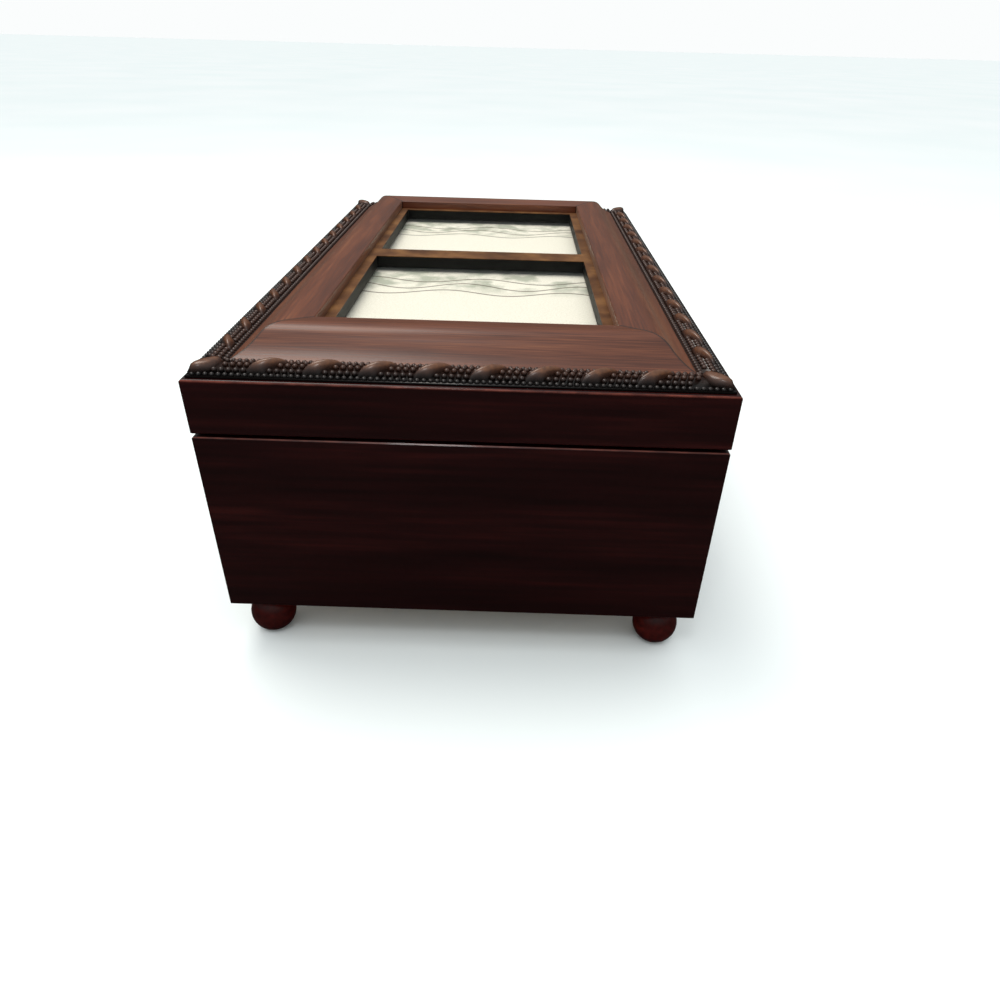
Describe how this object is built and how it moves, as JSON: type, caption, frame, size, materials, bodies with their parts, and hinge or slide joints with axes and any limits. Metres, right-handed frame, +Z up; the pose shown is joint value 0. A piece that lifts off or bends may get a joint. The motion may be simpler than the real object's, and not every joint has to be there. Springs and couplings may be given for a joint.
{
  "type": "musical jewelry box",
  "caption": "Wooden musical jewelry box on ball feet: hinged lid framing two glazed pictures, lined compartments and a pinned-cylinder movement wound from below.",
  "frame": {"origin": "on the floor under the middle of the box, in the plane of the foot pads", "axes": "+X along the long side to the right of someone facing the front, -Y to the front, +Y to the hinges, +Z up"},
  "size_m": [0.248, 0.1539, 0.1061],
  "materials": {
    "mahogany_lacquer": "gloss",
    "plywood": "matte",
    "walnut_moulding": "satin",
    "antiqued_trim": "satin",
    "window_liner": "satin",
    "picture_glass": "gloss",
    "picture_paper": "matte",
    "velvet": "matte",
    "felt": "matte",
    "brass_hardware": "satin",
    "zinc_casting": "satin",
    "nickelled_steel": "satin",
    "spring_steel": "satin",
    "movement_brass": "gloss"
  },
  "bodies": {
    "case": {"ball_feet": "mahogany_lacquer", "bedplate": "zinc_casting", "case_back": "mahogany_lacquer", "case_base": "plywood", "case_front": "mahogany_lacquer", "case_left": "mahogany_lacquer", "case_right": "mahogany_lacquer", "comb": "spring_steel", "cover_ledge": "plywood", "cross_divider": "velvet", "floor_lining": "velvet", "governor_bracket": "nickelled_steel", "hinge_case_leaf_left": "brass_hardware", "hinge_case_leaf_right": "brass_hardware", "hinge_pin_left": "brass_hardware", "hinge_pin_right": "brass_hardware", "lid_bumpers": "felt", "mainspring": "spring_steel", "mounting_screws": "nickelled_steel", "movement_cover": "picture_glass", "music_divider": "velvet", "plunger_guide": "nickelled_steel", "ring_divider": "velvet", "ring_pad": "velvet", "spring_housing": "nickelled_steel", "wall_lining": "velvet"},
    "lid": {"lid_rail_front": "mahogany_lacquer", "lid_rail_back": "mahogany_lacquer", "lid_rail_left": "mahogany_lacquer", "lid_rail_right": "mahogany_lacquer", "moulding_front": "walnut_moulding", "moulding_back": "walnut_moulding", "moulding_left": "walnut_moulding", "moulding_right": "walnut_moulding", "trim_front": "antiqued_trim", "trim_back": "antiqued_trim", "trim_left": "antiqued_trim", "trim_right": "antiqued_trim", "window_frame": "window_liner", "glass_pane": "picture_glass", "picture_card": "picture_paper", "backing_board": "plywood", "button_screws": "brass_hardware", "stop_block": "plywood", "hinge_lid_leaf_left": "brass_hardware", "hinge_lid_leaf_right": "brass_hardware"},
    "front_button": {"turn_button_front": "brass_hardware"},
    "back_button": {"turn_button_back": "brass_hardware"},
    "winder": {"winding_key": "nickelled_steel", "main_gear": "movement_brass"},
    "cylinder": {"pinned_cylinder": "movement_brass"},
    "wheel": {"governor_wheel": "movement_brass"},
    "fan": {"governor_fan": "movement_brass"},
    "plunger": {"stop_plunger": "nickelled_steel"}
  },
  "joints": [
    {"name": "lid_hinge", "type": "hinge", "parent": "case", "child": "lid", "pos_m": [0, 0.0762, 0.0798], "axis": [-1, 0, 0], "range_deg": [0, 98]},
    {"name": "front_button_pivot", "type": "hinge", "parent": "lid", "child": "front_button", "pos_m": [0, -0.0547, 0.0912], "axis": [0, 0, 1], "range_deg": [-90, 90]},
    {"name": "back_button_pivot", "type": "hinge", "parent": "lid", "child": "back_button", "pos_m": [0, 0.0547, 0.0912], "axis": [0, 0, 1], "range_deg": [-90, 90]},
    {"name": "cylinder_spin", "type": "hinge", "parent": "case", "child": "cylinder", "pos_m": [0.086, 0.03635, 0.0354], "axis": [1, 0, 0], "continuous": true},
    {"name": "winding", "type": "hinge", "parent": "case", "child": "winder", "pos_m": [0.0625, 0.03635, 0.0164], "axis": [0, 0, 1], "continuous": true},
    {"name": "wheel_spin", "type": "hinge", "parent": "case", "child": "wheel", "pos_m": [0.09, 0.04595, 0.0354], "axis": [1, 0, 0], "continuous": true},
    {"name": "fan_spin", "type": "hinge", "parent": "case", "child": "fan", "pos_m": [0.09, 0.0476, 0.04476], "axis": [1, 0, 0], "continuous": true},
    {"name": "plunger_slide", "type": "slide", "parent": "case", "child": "plunger", "axis": [0, 0, 1], "range_m": [0, 0.003]}
  ],
  "couplings": [
    {"joint": "winding", "follows": "cylinder_spin", "ratio": 0.4},
    {"joint": "wheel_spin", "follows": "cylinder_spin", "ratio": -3},
    {"joint": "fan_spin", "follows": "cylinder_spin", "ratio": 11.25},
    {"joint": "plunger_slide", "follows": "lid_hinge", "m_per_rad": 0.00175}
  ]
}
